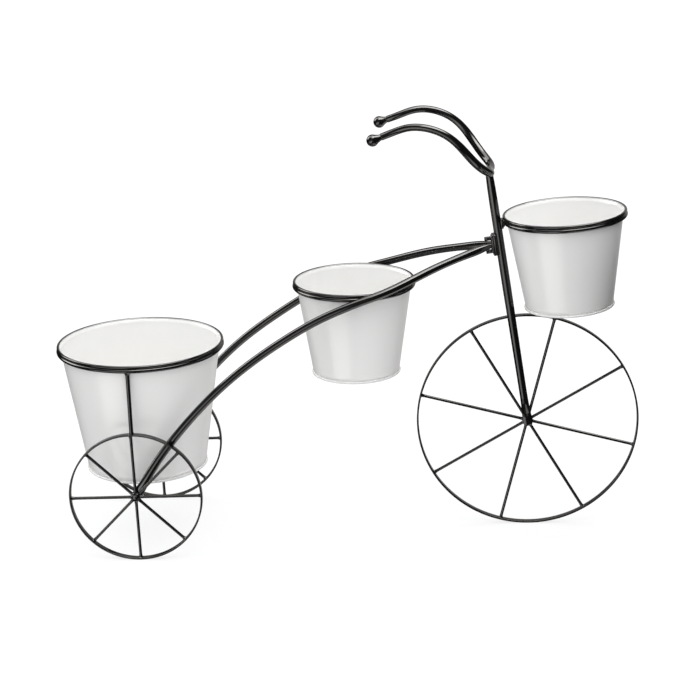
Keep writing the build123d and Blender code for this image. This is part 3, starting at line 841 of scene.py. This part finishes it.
def build_pots():
    """Wall, rim, foot and floor of each pot, which ride on the pot's own body."""
    for seed, (name, (size, place)) in enumerate(POTS.items(), start=3):
        body = "pot_" + name
        wall = pot_wall(size, place, seed)
        skin(name + "_pot_sheet", [wall], body, ENAMEL, [body + "_wall"], [True])
        skin(name + "_pot_bead", [pot_rim(size, place)], body, RIM, [body + "_rim"], [True])
        skin(name + "_pot_seam", [pot_foot(size, place)], body, SHADED_SEAM, [body + "_foot"], [True])
        skin(name + "_pot_base", [pot_floor(size, place)], body, ENAMEL, [body + "_floor"])


# Stage

# a window's azimuths and heights in degrees, softness in degrees and brightness
MIRRORED_WINDOWS = {
    "whole ceiling": ((-181, 181), (64, 91), 8.0, 5.5),
    "ceiling at the right front": ((-12, 128), (60, 91), 8.0, 9.5),
    "low at the left front": ((-58, -17), (-36, -13), 8.0, 2.8),
    "level at the left front": ((-30, -7), (-13, 4), 6.0, 2.2),
    "low at the right": ((82, 122), (-70, -46), 7.0, 3.0),
    "low at the right front": ((12, 58), (-76, -46), 8.0, 2.0),
    "ground below": ((-181, 181), (-91, -60), 10.0, 0.3),
    "front wall": ((-60, 10), (-10, 30), 14.0, 0.15),
    "back wall, right part": ((150, 181), (-30, 45), 14.0, 0.5),
    "back wall, left part": ((-181, -165), (-30, 45), 10.0, 0.5),
    "tall box at the left": ((-124, -94), (14, 56), 5.0, 8.5),
}
MATT_WINDOWS = {
    "front wall": ((-110, 60), (-40, 60), 45.0, 0.2),
    "whole ceiling": ((-181, 181), (55, 91), 25.0, 1.3),
    "ceiling at the right": ((20, 140), (50, 91), 25.0, 0.5),
}
MIRRORED_ROOM, MATT_ROOM = 0.02, 0.68
MIRRORED_TINT, MATT_TINT, PLAIN_WHITE = (1, 0.975, 0.945, 1), (0.98, 0.992, 1, 1), (1, 1, 1, 1)

# the camera's place in metres and its angles in radians, fitted to the photograph
CAMERA_AT = (0.16101587, -2.4581573, 1.04548358)
CAMERA_YAW, CAMERA_PITCH, CAMERA_ROLL = -0.063584397, 0.310442278, -0.030700281
FOCAL_PIXELS, PHOTO_PIXELS, SENSOR = 1923.893, 700, 36.0


class Sky(Sheet):
    """The surroundings' node tree, with the same node() as a material's."""

    def __init__(self, name):
        self.world = bpy.data.worlds.new(name)
        self.world.use_nodes = True
        self.tree = self.world.node_tree
        self.tree.nodes.clear()
        self.place = self.node("ShaderNodeTexCoord", out="Generated")

    def patch(self, azimuth, height, soft):
        """1 inside a window of azimuth (degrees, 0 is -Y, positive to +X) and height, soft at its edges."""
        across, ahead, up = (self.node("ShaderNodeSeparateXYZ", {}, {0: self.place}, out=k) for k in range(3))
        turn = ahead.math("ARCTAN2", across, ahead * -1.0) * (180 / np.pi)
        lift = up.math("ARCSINE", up) * (180 / np.pi)
        window = turn.step(azimuth[0] - soft, azimuth[0]) * (1 - turn.step(azimuth[1], azimuth[1] + soft))
        return window * lift.step(height[0] - soft, height[0]) * (1 - lift.step(height[1], height[1] + soft))

    def light(self, windows, room):
        """Sum of the windows, each times its brightness, and of the room's even light."""
        terms = [self.patch(*window) * bright for *window, bright in windows.values()]
        return sum(terms[1:], terms[0]) + room

    def glow(self, tint, strength):
        """A background of one tint."""
        return self.node("ShaderNodeBackground", {}, {"Color": tint, "Strength": strength})


def build_sky():
    """Studio light as a sum of soft-edged windows, each times its brightness.

    Gloss mirrors a dark room with a bright ceiling, a tall box at the left and weaker windows
    low down; matt surfaces get a nearly even room; straight looks meet plain white.
    """
    sky = Sky("pale_room")
    mirrored = sky.light(MIRRORED_WINDOWS, MIRRORED_ROOM)
    even = sky.light(MATT_WINDOWS, MATT_ROOM)
    seen = sky.glow(PLAIN_WHITE, 1.0)
    matt = sky.glow(MATT_TINT, even)
    gloss = sky.glow(MIRRORED_TINT, mirrored)
    glossy_path = sky.node("ShaderNodeLightPath", {}, {}, out="Is Glossy Ray")
    straight_path = sky.node("ShaderNodeLightPath", {}, {}, out="Is Camera Ray")
    lit = sky.node("ShaderNodeMixShader", {}, {0: glossy_path, 1: matt, 2: gloss})
    both = sky.node("ShaderNodeMixShader", {}, {0: straight_path, 1: lit, 2: seen})
    sky.node("ShaderNodeOutputWorld", {}, {"Surface": both})
    bpy.context.scene.world = sky.world


def stage_sheet(name, corners, finish):
    """A flat sheet of the studio, outside the object."""
    mesh = bpy.data.meshes.new(name)
    mesh.from_pydata(corners, [], [(0, 1, 2, 3)])
    sheet = bpy.data.objects.new(name, mesh)
    bpy.context.scene.collection.objects.link(sheet)
    mesh.materials.append(finish)
    sheet.visible_glossy = False
    return sheet


def build_stage():
    """Pale floor that neither the gloss nor the matt light meets, and a dark card right of the front pot.

    The camera and the gloss don't meet the card.
    """
    half = 30
    floor = stage_sheet("floor", [(-half, -half, 0), (half, -half, 0), (half, half, 0), (-half, half, 0)],
                        plain_pale("pale_floor", grey=0.2, glow=0.78))
    floor.visible_diffuse = floor.visible_shadow = False
    x, near, far, low, high = 0.44, -0.32, 0.2, 0.17, 0.46
    card = stage_sheet("dark_card", [(x, near, low), (x, far, low), (x, far, high), (x, near, high)],
                       plain_pale("dark_felt", grey=0.02, glow=0.0))
    card.visible_camera = False
    build_sky()


def build_camera():
    """The photograph's camera, from its place, yaw, pitch, roll and focal length in pixels."""
    yaw, pitch, roll = CAMERA_YAW, CAMERA_PITCH, CAMERA_ROLL
    ahead = np.array([np.sin(yaw) * np.cos(pitch), np.cos(yaw) * np.cos(pitch), -np.sin(pitch)])
    right = np.array([np.cos(yaw), -np.sin(yaw), 0.0])
    up = np.cross(right, ahead)
    turned_right = np.cos(roll) * right + np.sin(roll) * up
    turned_up = -np.sin(roll) * right + np.cos(roll) * up
    data = bpy.data.cameras.new("camera")
    data.sensor_width, data.lens = SENSOR, FOCAL_PIXELS * SENSOR / PHOTO_PIXELS
    data.clip_start, data.clip_end = 0.05, 100
    camera = bpy.data.objects.new("camera", data)
    pose = np.eye(4)
    pose[:3, 0], pose[:3, 1], pose[:3, 2] = turned_right, turned_up, -ahead
    pose[:3, 3] = CAMERA_AT
    camera.matrix_world = Matrix(pose.tolist())
    bpy.context.scene.collection.objects.link(camera)
    bpy.context.scene.camera = camera


build_wheels()
build_frame()
build_joint()
build_tab()
build_welds()
build_pots()
build_stage()
build_camera()
bpy.context.scene.view_settings.view_transform = "Standard"
